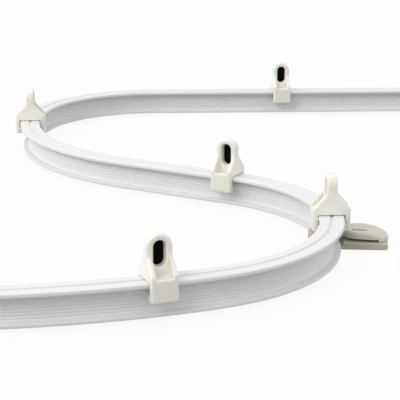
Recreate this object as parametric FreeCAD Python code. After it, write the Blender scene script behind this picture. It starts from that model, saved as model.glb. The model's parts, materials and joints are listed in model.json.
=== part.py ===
import FreeCAD, Part
import math
import os

# Flexible curtain track bent into an S, with five gliders and one ceiling clamp.
# It lies as photographed, upside down against its use: the gliders stand up.
# The origin is the screw hole of the clamp, on the face that meets the ceiling.
# X runs along the far strand, Y runs away from the near strand, Z is up. Millimetres, degrees.

V = FreeCAD.Vector
UP = V(0, 0, 1)

# Track section
track_height = 12.7
top_flange_width = 9.9
top_flange_thickness = 1.8
top_flange_edge_radius = 0.6
bottom_flange_width = 7.4
bottom_flange_edge = 1.25
bottom_flange_rise = 0.5
bottom_flange_edge_radius = 0.35
web_thickness = 1.8
web_top_corner_radius = 0.25
web_foot_radius = 0.8
web_ridge_count = 7
web_ridge_height = 0.24
web_ridge_base = 0.72
web_ridge_crown = 0.3
web_margin_below_ridges = 0.5
web_margin_above_ridges = 0.25
top_groove_width = 1.5
top_groove_depth = 0.5

# Route of the track's centre line, stretch by stretch, from the near end to the far end
near_entry_radius = 280.0
near_entry_angle = 17.4
near_exit_radius = 111.0
near_exit_angle = 6.5
right_bend_radius = 73.7
right_bend_angle_before_clamp = 69.7
right_bend_angle_after_clamp = 53.0
track_angle_at_clamp = 95.7
middle_length = 55.5
left_bend_radius = 108.0
left_bend_angle = 76.6
left_bend_end_radius = 64.2
far_length = 160.0

# Places of the gliders along the track, and how far some of them sit askew within their play
glider_1_along_near_entry = 68.3
glider_1_skew_angle = 2.6
glider_2_before_clamp = 5.8
glider_3_along_middle = 2.3
glider_3_skew_angle = 2.5
glider_4_before_left_bend_end = 33.4
glider_5_along_far = 73.6
glider_5_skew_angle = 2.5

# Glider
glider_length = 10.0
glider_width = 15.1
eye_top_height = 16.25
eye_width = 9.4
eye_plate_thickness = 4.2
eye_slot_width = 4.5
eye_slot_bottom = 4.6
eye_slot_top = 13.9
eye_edge_radius = 0.8
glider_side_radius = 12.0
flare_start_height = 8.6
flare_end_height = 2.7
flare_start_radius = 2.6
flare_end_radius = 0.9
channel_width = 6.2
channel_floor_height = 1.7
leg_thickness = 2.15
leg_depth = 6.6
leg_foot_radius = 0.4
leg_corner_radius = 1.0
barb_reach = 1.8
barb_height = 2.9
barb_slope = 0.9
barb_lead_in = 1.1
glider_lift = 0.15

# Clamp base, turned a little about its screw against the X axis
clamp_turn_angle = -6.2
base_thickness = 1.6
base_rim_height = 0.7
base_depth = 18.0
base_left_reach = 4.4
base_right_reach = 24.2
base_corner_radius = 1.8
seat_clearance = 0.4
hook_reach = 7.6
hook_depth = 8.0
hook_corner_radius = 2.2
hook_edge_radius = 0.7
hook_lip_reach = 2.7
hook_lip_thickness = 1.6
hook_side_clearance = 1.4
jaw_clearance = 0.12
screw_hole_radius = 2.1
screw_sink_radius = 3.2
screw_sink_depth = 1.0

# Clamp lever
pivot_from_screw = 13.1
pivot_behind_screw = 1.6
lever_heel_radius = 7.3
lever_nose_radius = 5.6
lever_nose_reach = 12.2
lever_rest_angle = -22.8
lever_underside_gap = 1.1
lever_thickness = 2.8
lever_edge_radius = 1.6
lever_dome_start = 3.2
lever_dome_radius = 17.0
lever_skirt_start = 10.0
lever_skirt_gap = 0.2
jaw_reach = 11.1
jaw_width = 8.0
jaw_thickness = 2.0
pivot_boss_radius = 3.6
pivot_stud_radius = 2.0
pivot_clearance = 0.05
pivot_lift = 0.03
stud_head_radius = 2.8
stud_head_thickness = 0.6
stud_head_recess = 0.3
stud_head_clearance = 0.1
slit_length = 6.6
slit_width = 1.7
slit_depth = 2.2
slit_in_front_of_pivot = 3.7
slit_angle = -9.0

# Two points nearer than this count as the same place
same_place = 1e-4

# Heights worked out from the sizes above
seat_height = base_thickness
flange_top = seat_height + track_height
base_top = seat_height + base_rim_height
ledge_height = bottom_flange_edge + bottom_flange_rise
jaw_underside = seat_height + ledge_height + jaw_clearance
lever_underside = base_top + lever_underside_gap
lever_top = lever_underside + lever_thickness


def heading_vector(heading):
    return V(math.cos(math.radians(heading)), math.sin(math.radians(heading)), 0)


def left_of(heading):
    return heading_vector(heading + 90)


def rounded_face(corners, place):
    """A flat face from corners (a, b, radius); place turns (a, b) into a point in space."""
    flat = [V(a, b, 0) for a, b, radius in corners]
    rounds = []
    for i, (a, b, radius) in enumerate(corners):
        corner = flat[i]
        if radius == 0:
            rounds.append((corner, None, corner))
            continue
        back = (flat[i - 1] - corner).normalize()
        ahead = (flat[(i + 1) % len(flat)] - corner).normalize()
        half = back.getAngle(ahead) / 2
        trim = radius / math.tan(half)
        inward = (back + ahead).normalize()
        centre = corner + inward * (radius / math.sin(half))
        rounds.append((corner + back * trim, centre - inward * radius, corner + ahead * trim))
    edges = []
    for i, (entry, crown, leave) in enumerate(rounds):
        if crown:
            edges.append(Part.Arc(place(entry), place(crown), place(leave)).toShape())
        following = rounds[(i + 1) % len(rounds)][0]
        if leave.distanceToPoint(following) > same_place:
            edges.append(Part.LineSegment(place(leave), place(following)).toShape())
    return Part.Face(Part.Wire(edges))


def mirrored_outline(right_side):
    """Closes a half outline, given from bottom to top on the right, with its mirror image."""
    return right_side + [(-a, b, radius) for a, b, radius in reversed(right_side)]


def across_section(point):
    return V(0, point.x, point.y)


def front_view(point):
    return V(point.x, 0, point.y)


def plan_view(point):
    return V(point.x, point.y, 0)


def slab(corners, bottom, top):
    """A plate with the given plan outline, between two heights."""
    face = rounded_face(corners, plan_view)
    face.translate(V(0, 0, bottom))
    return face.extrude(V(0, 0, top - bottom))


def rectangle(left, right, front, back, radius):
    return [(left, front, radius), (right, front, radius), (right, back, radius), (left, back, radius)]


def arc_stretch(start, heading, radius, turn):
    """A bend to the left for a positive turn and to the right for a negative one."""
    side = 1 if turn > 0 else -1
    centre = start + left_of(heading) * (radius * side)
    end = centre - left_of(heading + turn) * (radius * side)
    length = math.radians(abs(turn)) * radius
    return dict(start=start, heading=heading, centre=centre, turn=turn, radius=radius,
                length=length, end=end, end_heading=heading + turn)


def straight_stretch(start, heading, length):
    end = start + heading_vector(heading) * length
    return dict(start=start, heading=heading, centre=None, turn=0, length=length,
                end=end, end_heading=heading)


def point_along(stretch, distance):
    """The place and heading of a point at a distance along a stretch."""
    if stretch["centre"] is None:
        return stretch["start"] + heading_vector(stretch["heading"]) * distance, stretch["heading"]
    turned = math.copysign(math.degrees(distance / stretch["radius"]), stretch["turn"])
    heading = stretch["heading"] + turned
    side = 1 if stretch["turn"] > 0 else -1
    return stretch["centre"] - left_of(heading) * (stretch["radius"] * side), heading


def route(start):
    heading = (track_angle_at_clamp - right_bend_angle_before_clamp
               - near_exit_angle - near_entry_angle)
    near_entry = arc_stretch(start, heading, near_entry_radius, near_entry_angle)
    near_exit = arc_stretch(near_entry["end"], near_entry["end_heading"],
                            near_exit_radius, near_exit_angle)
    right_bend = arc_stretch(near_exit["end"], near_exit["end_heading"], right_bend_radius,
                             right_bend_angle_before_clamp + right_bend_angle_after_clamp)
    middle = straight_stretch(right_bend["end"], right_bend["end_heading"], middle_length)
    left_bend = arc_stretch(middle["end"], middle["end_heading"], left_bend_radius, -left_bend_angle)
    left_bend_end = arc_stretch(left_bend["end"], left_bend["end_heading"],
                                left_bend_end_radius, -left_bend["end_heading"])
    far = straight_stretch(left_bend_end["end"], 0, far_length)
    return [near_entry, near_exit, right_bend, middle, left_bend, left_bend_end, far]


# The route is laid out once to find the clamp, then again so that the clamp is at the origin
distance_to_clamp = math.radians(right_bend_angle_before_clamp) * right_bend_radius
clamp_place = point_along(route(V(0, 0, 0))[2], distance_to_clamp)[0]
stretches = route(-clamp_place)
near_entry, near_exit, right_bend, middle, left_bend, left_bend_end, far = stretches


def track_section():
    """The I-section, standing across the X axis with its lower face at height 0."""
    half_web = web_thickness / 2
    web_top = track_height - top_flange_thickness
    first_ridge = ledge_height + web_margin_below_ridges
    pitch = (web_top - web_margin_above_ridges - first_ridge) / web_ridge_count
    right = [(bottom_flange_width / 2, 0, bottom_flange_edge_radius),
             (bottom_flange_width / 2, bottom_flange_edge, bottom_flange_edge_radius),
             (half_web, ledge_height, web_foot_radius)]
    for i in range(web_ridge_count):
        middle_height = first_ridge + pitch * (i + 0.5)
        right += [(half_web, middle_height - web_ridge_base / 2, 0),
                  (half_web + web_ridge_height, middle_height - web_ridge_crown / 2, 0),
                  (half_web + web_ridge_height, middle_height + web_ridge_crown / 2, 0),
                  (half_web, middle_height + web_ridge_base / 2, 0)]
    right += [(half_web, web_top, web_top_corner_radius),
              (top_flange_width / 2, web_top, top_flange_edge_radius),
              (top_flange_width / 2, track_height, top_flange_edge_radius),
              (top_groove_width / 2, track_height, 0),
              (top_groove_width / 2, track_height - top_groove_depth, 0)]
    return rounded_face(mirrored_outline(right), across_section)


def make_track():
    pieces = []
    for stretch in stretches:
        section = track_section()
        section.rotate(V(0, 0, 0), UP, stretch["heading"])
        section.translate(stretch["start"] + V(0, 0, seat_height))
        if stretch["centre"] is None:
            pieces.append(section.extrude(stretch["end"] - stretch["start"]))
        else:
            pieces.append(section.revolve(stretch["centre"], UP, stretch["turn"]))
    return pieces[0].multiFuse(pieces[1:]).removeSplitter()


def glider_end_profile():
    """The glider seen along the track, with heights above the top flange."""
    half_width = glider_width / 2
    inner = half_width - leg_thickness
    barb_tip = inner - barb_reach
    barb_top = -leg_depth + barb_height
    right = [(inner, glider_lift, 0),
             (inner, barb_top, 0),
             (barb_tip, barb_top - barb_slope, 0),
             (barb_tip, -leg_depth + barb_lead_in, 0),
             (barb_tip + barb_lead_in, -leg_depth, 0),
             (half_width, -leg_depth, leg_foot_radius),
             (half_width, flare_end_height, flare_end_radius),
             (eye_plate_thickness / 2, flare_start_height, flare_start_radius),
             (eye_plate_thickness / 2, eye_top_height, 0)]
    return rounded_face(mirrored_outline(right), across_section)


def make_glider():
    """One glider with the track's heading along X and the top flange at height 0."""
    body = glider_end_profile().extrude(V(glider_length, 0, 0))
    body.translate(V(-glider_length / 2, 0, 0))
    right_side = [(glider_length / 2, -leg_depth, 0),
                  (glider_length / 2, flare_end_height, glider_side_radius),
                  (eye_width / 2, flare_start_height, glider_side_radius),
                  (eye_width / 2, eye_top_height, eye_width / 2)]
    outline = rounded_face(mirrored_outline(right_side), front_view)
    outline.translate(V(0, -glider_width, 0))
    body = body.common(outline.extrude(V(0, 2 * glider_width, 0)))
    slot_side = [(eye_slot_width / 2, eye_slot_bottom, eye_slot_width / 2),
                 (eye_slot_width / 2, eye_slot_top, eye_slot_width / 2)]
    slot = rounded_face(mirrored_outline(slot_side), front_view)
    slot.translate(V(0, -glider_width, 0))
    body = body.cut(slot.extrude(V(0, 2 * glider_width, 0)))
    channel = slab(rectangle(-channel_width / 2, channel_width / 2, eye_plate_thickness / 2,
                             glider_width, 0), channel_floor_height, eye_top_height)
    far_channel = channel.copy()
    far_channel.rotate(V(0, 0, 0), UP, 180)
    body = body.cut(channel).cut(far_channel).removeSplitter()
    footprint = slab(rectangle(-glider_length / 2, glider_length / 2, -glider_width / 2,
                               glider_width / 2, leg_corner_radius), -leg_depth, eye_top_height)
    return rounded_edges(body, eye_edge_radius, on_eye_face).common(footprint).removeSplitter()


def on_eye_face(edge):
    """True for the eye's own outline and slot edges, on either face of its plate."""
    box = edge.BoundBox
    flat = box.YMax - box.YMin < same_place
    on_plate = abs(abs(box.YMax) - eye_plate_thickness / 2) < same_place
    above_channel = box.ZMin > channel_floor_height + same_place
    return flat and on_plate and above_channel and box.ZMax > eye_slot_bottom + same_place


def rounded_edges(body, radius, chosen):
    """Rounds the edges that the chosen rule picks."""
    edges = [edge for edge in body.Edges if chosen(edge)]
    return body.makeFillet(radius, edges)


def place_on_track(glider, stretch, distance, skew=0):
    spot, heading = point_along(stretch, distance)
    glider.rotate(V(0, 0, 0), UP, heading + skew)
    glider.translate(spot + V(0, 0, flange_top))
    return glider


def flange_room():
    """How far the bottom flange reaches to a side of the clamp's middle, over the seat's depth."""
    half_depth = base_depth / 2
    slant = half_depth * math.tan(math.radians(abs(track_angle_at_clamp - clamp_turn_angle - 90)))
    bow = half_depth ** 2 / (2 * right_bend_radius)
    return bottom_flange_width / 2 + slant + bow


def make_clamp_base():
    half_depth = base_depth / 2
    rim_start = flange_room() + seat_clearance
    plate = slab(rectangle(-base_left_reach, base_right_reach, -half_depth, half_depth,
                           base_corner_radius), 0, seat_height)
    rim = slab(rectangle(rim_start - base_corner_radius, base_right_reach, -half_depth, half_depth,
                         base_corner_radius), 0, base_top)
    seat = slab(rectangle(-base_left_reach, rim_start, -base_depth, base_depth, 0),
                seat_height, lever_top)
    wall_face = bottom_flange_width / 2 + hook_side_clearance
    hook_top = jaw_underside + hook_lip_thickness
    tongue = slab(rectangle(-hook_reach, 0, -hook_depth / 2, hook_depth / 2, hook_corner_radius),
                  0, hook_top)
    opening = slab(rectangle(-wall_face, base_right_reach, -base_depth, base_depth, 0),
                   seat_height, jaw_underside)
    above = slab(rectangle(-wall_face + hook_lip_reach, base_right_reach, -base_depth, base_depth, 0),
                 seat_height, hook_top)
    hook = rounded_edges(tongue.cut(above), hook_edge_radius,
                         lambda edge: edge.BoundBox.ZMin > hook_top - same_place).cut(opening)
    base = plate.fuse(rim.cut(seat)).fuse(hook)
    pivot = V(pivot_from_screw, pivot_behind_screw, 0)
    pocket_height = stud_head_recess + stud_head_thickness + stud_head_clearance
    holes = [Part.makeCylinder(screw_hole_radius, base_top),
             Part.makeCone(screw_hole_radius, screw_sink_radius, screw_sink_depth,
                           V(0, 0, seat_height - screw_sink_depth)),
             Part.makeCylinder(pivot_stud_radius + pivot_clearance, base_top, pivot),
             Part.makeCylinder(stud_head_radius + stud_head_clearance, pocket_height, pivot)]
    for hole in holes:
        base = base.cut(hole)
    base.rotate(V(0, 0, 0), UP, clamp_turn_angle)
    return base.removeSplitter()


def lever_plan():
    """The lever's thumb lobe, a round heel about the pivot that tapers to a round nose."""
    spread = lever_nose_reach - lever_nose_radius
    lean = math.asin((lever_heel_radius - lever_nose_radius) / spread)
    far_x, far_y = math.sin(lean), math.cos(lean)
    heel = V(lever_heel_radius * far_x, lever_heel_radius * far_y, 0)
    nose = V(spread + lever_nose_radius * far_x, lever_nose_radius * far_y, 0)
    edges = [Part.Arc(heel, V(-lever_heel_radius, 0, 0), V(heel.x, -heel.y, 0)),
             Part.LineSegment(V(heel.x, -heel.y, 0), V(nose.x, -nose.y, 0)),
             Part.Arc(V(nose.x, -nose.y, 0), V(lever_nose_reach, 0, 0), nose),
             Part.LineSegment(nose, heel)]
    return Part.Face(Part.Wire([edge.toShape() for edge in edges]))


def domed_lobe():
    """The thumb lobe as one tall piece, its top bending down towards the nose, its rim rounded."""
    bottom = base_top + lever_skirt_gap
    plan = lever_plan()
    plan.translate(V(0, 0, bottom))
    lobe = plan.extrude(V(0, 0, lever_top - bottom))
    above = slab(rectangle(lever_dome_start, lever_dome_start + lever_dome_radius, -lever_heel_radius,
                           lever_heel_radius, 0), lever_underside, lever_top)
    dome = Part.makeCylinder(lever_dome_radius, 2 * lever_heel_radius,
                             V(lever_dome_start, -lever_heel_radius, lever_top - lever_dome_radius),
                             V(0, 1, 0))
    lobe = lobe.cut(above.cut(dome)).removeSplitter()
    return rounded_edges(lobe, lever_edge_radius, on_lobe_rim)


def on_lobe_rim(edge):
    """True for the outline of the lobe's top, not for the line across it where the dome starts."""
    box = edge.BoundBox
    across_top = box.XMax - box.XMin < same_place and box.YMax - box.YMin > lever_nose_radius
    upright = box.ZMin < base_top + lever_skirt_gap + same_place
    return not across_top and not upright


def make_clamp_lever():
    lobe = domed_lobe()
    hollow = slab(rectangle(-lever_heel_radius, lever_skirt_start, -lever_heel_radius,
                            lever_heel_radius, 0), base_top, lever_underside)
    lobe = lobe.cut(hollow)
    lobe.rotate(V(0, 0, 0), UP, lever_rest_angle)
    jaw = slab(rectangle(-jaw_reach, 0, -jaw_width / 2, jaw_width / 2, 0),
               lever_underside, lever_underside + jaw_thickness)
    swing = Part.makeCylinder(jaw_reach, lever_top)
    boss = Part.makeCylinder(pivot_boss_radius, lever_underside_gap - pivot_lift,
                             V(0, 0, base_top + pivot_lift))
    stud = Part.makeCylinder(pivot_stud_radius, lever_underside - stud_head_recess,
                             V(0, 0, stud_head_recess))
    head = Part.makeCylinder(stud_head_radius, stud_head_thickness, V(0, 0, stud_head_recess))
    slit = slab(rectangle(-slit_length / 2, slit_length / 2, -slit_width / 2, slit_width / 2,
                          slit_width / 2), lever_top - slit_depth, lever_top)
    slit.rotate(V(0, 0, 0), UP, slit_angle)
    slit.translate(V(0, -slit_in_front_of_pivot, 0))
    lever = lobe.fuse(jaw.common(swing))
    for piece in (boss, stud, head):
        lever = lever.fuse(piece)
    lever = lever.cut(slit).removeSplitter()
    lever.translate(V(pivot_from_screw, pivot_behind_screw, 0))
    lever.rotate(V(0, 0, 0), UP, clamp_turn_angle)
    return lever


def glider_places():
    return {"glider_1": (near_entry, glider_1_along_near_entry, glider_1_skew_angle),
            "glider_2": (right_bend, distance_to_clamp - glider_2_before_clamp, 0),
            "glider_3": (middle, glider_3_along_middle, glider_3_skew_angle),
            "glider_4": (left_bend, left_bend["length"] - glider_4_before_left_bend_end, 0),
            "glider_5": (far, glider_5_along_far, glider_5_skew_angle)}


os.makedirs("parts", exist_ok=True)
pieces = {"track": make_track(), "clamp_base": make_clamp_base(), "clamp_lever": make_clamp_lever()}
for name, (stretch, distance, skew) in glider_places().items():
    pieces[name] = place_on_track(make_glider(), stretch, distance, skew)
for name, shape in pieces.items():
    shape.exportStep("parts/" + name + ".step")
    print(name, shape.isValid(), len(shape.Solids), round(shape.Volume, 1))
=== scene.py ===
import bmesh
import bpy
import json
import math
from mathutils import Matrix, Vector


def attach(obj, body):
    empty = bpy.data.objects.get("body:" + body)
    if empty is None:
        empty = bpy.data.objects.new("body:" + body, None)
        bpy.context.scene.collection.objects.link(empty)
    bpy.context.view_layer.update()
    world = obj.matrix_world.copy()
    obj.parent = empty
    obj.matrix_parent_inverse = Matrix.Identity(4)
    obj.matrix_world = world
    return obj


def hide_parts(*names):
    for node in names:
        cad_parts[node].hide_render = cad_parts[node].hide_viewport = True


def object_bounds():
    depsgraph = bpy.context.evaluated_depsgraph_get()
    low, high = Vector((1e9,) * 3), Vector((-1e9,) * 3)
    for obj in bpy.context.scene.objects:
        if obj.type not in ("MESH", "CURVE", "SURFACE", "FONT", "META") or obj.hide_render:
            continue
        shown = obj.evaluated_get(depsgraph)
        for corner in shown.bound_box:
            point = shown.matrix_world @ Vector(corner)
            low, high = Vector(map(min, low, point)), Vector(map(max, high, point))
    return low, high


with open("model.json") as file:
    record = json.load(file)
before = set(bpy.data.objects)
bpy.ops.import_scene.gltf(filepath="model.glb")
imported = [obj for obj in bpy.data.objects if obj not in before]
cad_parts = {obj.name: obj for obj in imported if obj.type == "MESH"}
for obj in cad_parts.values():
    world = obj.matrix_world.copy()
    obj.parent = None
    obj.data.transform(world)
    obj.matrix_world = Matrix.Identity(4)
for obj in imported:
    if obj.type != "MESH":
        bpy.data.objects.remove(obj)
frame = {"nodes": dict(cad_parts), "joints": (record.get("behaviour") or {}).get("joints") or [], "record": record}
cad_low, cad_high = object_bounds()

scene = bpy.context.scene

# Camera
# The viewpoint of the photograph, low in front of the near strand, through a long lens.
camera_tilt = 74.4
camera_heading = -2.105
camera = bpy.data.objects.new("camera", bpy.data.cameras.new("camera"))
scene.collection.objects.link(camera)
scene.camera = camera
camera.data.sensor_width = 36.0
camera.data.lens = 117.83
camera.data.clip_start = 0.05
camera.location = (-0.069875, -0.50454, 0.159331)
camera.rotation_euler = (math.radians(camera_tilt), 0.0, math.radians(camera_heading))

# Track
# One extruded strip of flexible white plastic with a ribbed I section, bent by hand into an S.
# The die leaves faint lines along its sides, and its skin is a plain satin.


def add(tree, kind, label=None, **settings):
    """A shader node with some of its sockets or settings filled in."""
    node = tree.nodes.new(kind)
    if label:
        node.label = label
    for key, value in settings.items():
        if key in node.inputs:
            node.inputs[key].default_value = value
        else:
            setattr(node, key, value)
    return node


def skin_noise(tree, label, stretch, scale):
    """Noise in the piece's own coordinates, drawn out along some axes."""
    place = add(tree, "ShaderNodeTexCoord")
    mapping = add(tree, "ShaderNodeMapping", Scale=stretch)
    noise = add(tree, "ShaderNodeTexNoise", label, Scale=scale, Detail=2.0, Roughness=0.55)
    tree.links.new(place.outputs["Object"], mapping.inputs["Vector"])
    tree.links.new(mapping.outputs["Vector"], noise.inputs["Vector"])
    return noise.outputs["Fac"]


def spread(tree, noise, low, high):
    """Noise, which keeps near its middle, spread over a working range."""
    ramp = add(tree, "ShaderNodeMapRange")
    ramp.inputs["From Min"].default_value = 0.3
    ramp.inputs["From Max"].default_value = 0.7
    ramp.inputs["To Min"].default_value = low
    ramp.inputs["To Max"].default_value = high
    tree.links.new(noise, ramp.inputs["Value"])
    return ramp.outputs["Result"]


def satin_plastic(name, tones, cloud_size, roughness, lines, grain):
    """Plastic whose tone wanders between two, with fine lines and a grained skin in relief.

    Lines and grain are each a stretch, a noise scale and a depth in metres.
    """
    material = bpy.data.materials.new(name)
    material.use_nodes = True
    tree = material.node_tree
    shader = tree.nodes["Principled BSDF"]
    clouds = skin_noise(tree, "slow change of tone", (1, 1, 1), 1 / cloud_size)
    tone = add(tree, "ShaderNodeMix", data_type="RGBA")
    # The numbers of the Mix node's colour sockets, two in and one out.
    first_colour, second_colour, mixed_colour = 6, 7, 2
    tone.inputs[first_colour].default_value = (*tones[0], 1)
    tone.inputs[second_colour].default_value = (*tones[1], 1)
    tree.links.new(spread(tree, clouds, 0, 1), tone.inputs["Factor"])
    tree.links.new(tone.outputs[mixed_colour], shader.inputs["Base Color"])
    normal = None
    for label, (stretch, scale, depth) in (("lines in the skin", lines), ("grain of the skin", grain)):
        noise = skin_noise(tree, label, stretch, scale)
        bump = add(tree, "ShaderNodeBump", Distance=depth, Strength=1.0)
        tree.links.new(noise, bump.inputs["Height"])
        if normal:
            tree.links.new(normal, bump.inputs["Normal"])
        normal = bump.outputs["Normal"]
    tree.links.new(normal, shader.inputs["Normal"])
    tree.links.new(spread(tree, noise, *roughness), shader.inputs["Roughness"])
    return material, shader


def dress(piece, material):
    """Makes a piece of one material."""
    piece.data.materials.clear()
    piece.data.materials.append(material)


track_white, _ = satin_plastic(
    "track_white", tones=((0.83, 0.83, 0.825), (0.81, 0.81, 0.805)), cloud_size=0.05,
    roughness=(0.36, 0.44), lines=((0.002, 0.002, 1), 2200.0, 0.0000006),
    grain=((1, 1, 1), 5000.0, 0.0000003))
dress(frame["nodes"]["track"], track_white)

# Gliders
# Five moulded nylon gliders that straddle the runner flange, ivory and slightly translucent.
# The mould has softened every edge, so each solid is remeshed finely and relaxed a little.
glider_names = ["glider_" + str(number) for number in range(1, 6)]
edge_softness_grid = 0.00018
relax_passes = 24
relax_share = 0.5
same_point = 0.000001
glider_nylon, shader = satin_plastic(
    "glider_nylon", tones=((0.905, 0.89, 0.83), (0.875, 0.853, 0.775)), cloud_size=0.006,
    roughness=(0.34, 0.46), lines=((1, 1, 0.3), 500.0, 0.00001),
    grain=((1, 1, 1), 3000.0, 0.000003))
shader.inputs["Subsurface Weight"].default_value = 0.5
shader.inputs["Subsurface Radius"].default_value = (1.0, 0.7, 0.42)
shader.inputs["Subsurface Scale"].default_value = 0.0015


def merged_copy(node, name):
    """A CAD node's mesh with its loose triangles joined, as a new object."""
    joined = bmesh.new()
    joined.from_mesh(frame["nodes"][node].data)
    bmesh.ops.remove_doubles(joined, verts=joined.verts, dist=same_point)
    mesh = bpy.data.meshes.new(name)
    joined.to_mesh(mesh)
    joined.free()
    piece = bpy.data.objects.new(name, mesh)
    scene.collection.objects.link(piece)
    return piece


for name in glider_names:
    glider = merged_copy(name, name + "_moulding")
    grid = glider.modifiers.new("fine grid", "REMESH")
    grid.mode = "VOXEL"
    grid.voxel_size = edge_softness_grid
    grid.use_smooth_shade = True
    relax = glider.modifiers.new("soft edges", "SMOOTH")
    relax.factor = relax_share
    relax.iterations = relax_passes
    dress(glider, glider_nylon)
    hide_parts(name)
    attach(glider, name)

# Eye webs
# The photograph shows the gliders' eyes filled with matt black, so a thin black web closes each.
# A web is a film of dark plastic, less than half a millimetre thick, behind the middle of the eye
# and held by the eye's wall all round.
web_thickness = 0.0004
web_overlap = 0.0001
web_set_back = 0.0013
web_corners = 48
eye_width = 0.0045
eye_height = 0.0093
skew_angles = {"glider_1": 2.6, "glider_3": 2.5, "glider_5": 2.5}
web_black, shader = satin_plastic(
    "web_black", tones=((0.002, 0.0018, 0.0025), (0.004, 0.0036, 0.0045)), cloud_size=0.003,
    roughness=(0.6, 0.75), lines=((1, 1, 1), 900.0, 0.000004), grain=((1, 1, 1), 4000.0, 0.000002))
shader.inputs["Specular IOR Level"].default_value = 0.05


def track_direction(name, place):
    """Which way the track runs at a glider, from the glider's own joint."""
    joint = next(joint for joint in frame["joints"] if joint["child"] == name)
    if joint["type"] == "slide":
        return Vector(joint["axis"])
    radius = place - Vector(joint["pos_m"])
    return Vector((-radius.y, radius.x, 0)).normalized()


def eye_frame(name):
    """Where a glider's web stands, turned so that it lies along the glider and upright."""
    mount = next(m for m in frame["record"]["mounts"] if m["name"] == name.replace("glider", "hook_eye"))
    place = Vector(mount["pos_m"])
    along = track_direction(name, place)
    along.rotate(Matrix.Rotation(math.radians(skew_angles.get(name, 0)), 3, "Z"))
    up = Vector((0, 0, 1))
    across = along.cross(up)
    place += across * math.copysign(web_set_back, across.y)
    return Matrix.Translation(place) @ Matrix((along, up, across)).transposed().to_4x4()


for name in glider_names:
    film = bmesh.new()
    bmesh.ops.create_circle(film, cap_ends=True, radius=eye_width / 2 + web_overlap, segments=web_corners)
    for vertex in film.verts:
        vertex.co.y += math.copysign((eye_height - eye_width) / 2, vertex.co.y)
    front = bmesh.ops.extrude_face_region(film, geom=film.faces[:])
    moved = [part for part in front["geom"] if isinstance(part, bmesh.types.BMVert)]
    bmesh.ops.translate(film, verts=moved, vec=(0, 0, web_thickness))
    bmesh.ops.translate(film, verts=film.verts, vec=(0, 0, -web_thickness / 2))
    bmesh.ops.transform(film, matrix=eye_frame(name), verts=film.verts)
    bmesh.ops.recalc_face_normals(film, faces=film.faces)
    web = bpy.data.objects.new(name + "_eye_web", bpy.data.meshes.new(name + "_eye_web"))
    film.to_mesh(web.data)
    film.free()
    scene.collection.objects.link(web)
    dress(web, web_black)
    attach(web, name)

# Clamp
# The ceiling clamp's swivelling lever and, below it, its base plate, both moulded in a greyer and
# harder plastic than the gliders. The lever is the paler and glossier of the two, and the plate
# is a darker olive.


def clamp_plastic(name, tones, roughness):
    """The clamp's hard and hardly translucent plastic, in the tones of one of its two pieces."""
    plastic, shader = satin_plastic(
        name, tones=tones, cloud_size=0.01, roughness=roughness,
        lines=((1, 1, 1), 600.0, 0.000005), grain=((1, 1, 1), 2500.0, 0.000002))
    shader.inputs["Subsurface Weight"].default_value = 0.12
    shader.inputs["Subsurface Scale"].default_value = 0.0006
    return plastic


clamp_beige = clamp_plastic(
    "clamp_beige", tones=((0.66, 0.63, 0.525), (0.61, 0.585, 0.47)), roughness=(0.24, 0.34))
dress(frame["nodes"]["clamp_lever"], clamp_beige)
clamp_olive = clamp_plastic(
    "clamp_olive", tones=((0.56, 0.54, 0.42), (0.52, 0.50, 0.38)), roughness=(0.3, 0.4))
dress(frame["nodes"]["clamp_base"], clamp_olive)

# Floor
# A sheet of paper just under the clamp. The eye sees it white, with the object's soft shadow.
# Light strikes it as a grey sheet, so that little is thrown back up at the track's sides.
floor_size = 6.0
floor_gap = 0.0002
paper_grey = (0.30, 0.297, 0.28, 1)
paper_white = (0.8, 0.8, 0.8, 1)
white_share = 0.92
plain = bmesh.new()
bmesh.ops.create_grid(plain, x_segments=1, y_segments=1, size=floor_size / 2)
bmesh.ops.translate(plain, verts=plain.verts, vec=(0, 0, cad_low.z - floor_gap))
floor = bpy.data.objects.new("floor", bpy.data.meshes.new("floor"))
plain.to_mesh(floor.data)
plain.free()
scene.collection.objects.link(floor)

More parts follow.
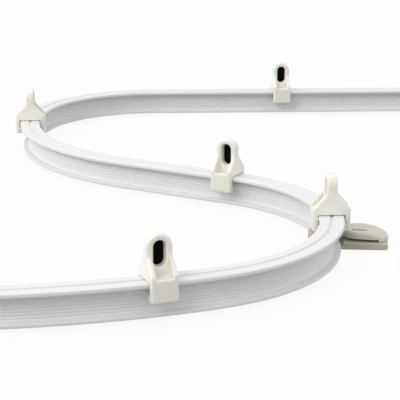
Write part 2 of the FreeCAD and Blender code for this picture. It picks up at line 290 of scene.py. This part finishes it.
paper = bpy.data.materials.new("paper")
paper.use_nodes = True
tree = paper.node_tree
lit = tree.nodes["Principled BSDF"]
lit.inputs["Base Color"].default_value = paper_grey
lit.inputs["Roughness"].default_value = 0.9
bright = add(tree, "ShaderNodeBsdfDiffuse", Color=paper_white)
glow = add(tree, "ShaderNodeEmission", Strength=1.0)
whiten = add(tree, "ShaderNodeMixShader", Fac=white_share)
rays = add(tree, "ShaderNodeLightPath")
seen = add(tree, "ShaderNodeMath", operation="MAXIMUM")
choose = add(tree, "ShaderNodeMixShader")
tree.links.new(bright.outputs[0], whiten.inputs[1])
tree.links.new(glow.outputs[0], whiten.inputs[2])
tree.links.new(rays.outputs["Is Camera Ray"], seen.inputs[0])
tree.links.new(rays.outputs["Is Glossy Ray"], seen.inputs[1])
tree.links.new(seen.outputs[0], choose.inputs["Fac"])
tree.links.new(lit.outputs[0], choose.inputs[1])
tree.links.new(whiten.outputs[0], choose.inputs[2])
tree.links.new(choose.outputs[0], tree.nodes["Material Output"].inputs["Surface"])
floor.data.materials.append(paper)

# Room and lamps
# A pale room that looks white, a large lamp high at the front left, which is the strongest, and
# smaller ones at the left and right and overhead, as in a plain studio.
room_colour = (0.97, 0.98, 1, 1)
room_strength = 0.79
world = bpy.data.worlds.new("studio")
scene.world = world
world.use_nodes = True
tree = world.node_tree
room = tree.nodes["Background"]
room.inputs["Color"].default_value = room_colour
room.inputs["Strength"].default_value = room_strength
white = add(tree, "ShaderNodeBackground", Color=(1, 1, 1, 1), Strength=1.0)
rays = add(tree, "ShaderNodeLightPath")
choose = add(tree, "ShaderNodeMixShader")
tree.links.new(rays.outputs["Is Camera Ray"], choose.inputs["Fac"])
tree.links.new(room.outputs[0], choose.inputs[1])
tree.links.new(white.outputs[0], choose.inputs[2])
tree.links.new(choose.outputs[0], tree.nodes["World Output"].inputs["Surface"])


def softbox(name, place, width, power, tint=(1, 1, 1)):
    """A square lamp that looks at the middle of the track."""
    light = bpy.data.objects.new(name, bpy.data.lights.new(name, "AREA"))
    light.data.size = width
    light.data.energy = power
    light.data.color = tint
    light.location = place
    aim = (cad_low + cad_high) / 2 - Vector(place)
    light.rotation_euler = aim.to_track_quat("-Z", "Y").to_euler()
    scene.collection.objects.link(light)


softbox("overhead", place=(-0.1, 0.4, 1.5), width=1.0, power=2.7, tint=(0.9, 0.95, 1))
softbox("front", place=(-1.5, -1.4, 1.65), width=1.1, power=16.0)
softbox("left", place=(-1.5, 0.0, 0.55), width=0.8, power=5.8)
softbox("right", place=(1.5, -0.1, 0.6), width=0.8, power=2.5)

scene.view_settings.view_transform = "Standard"
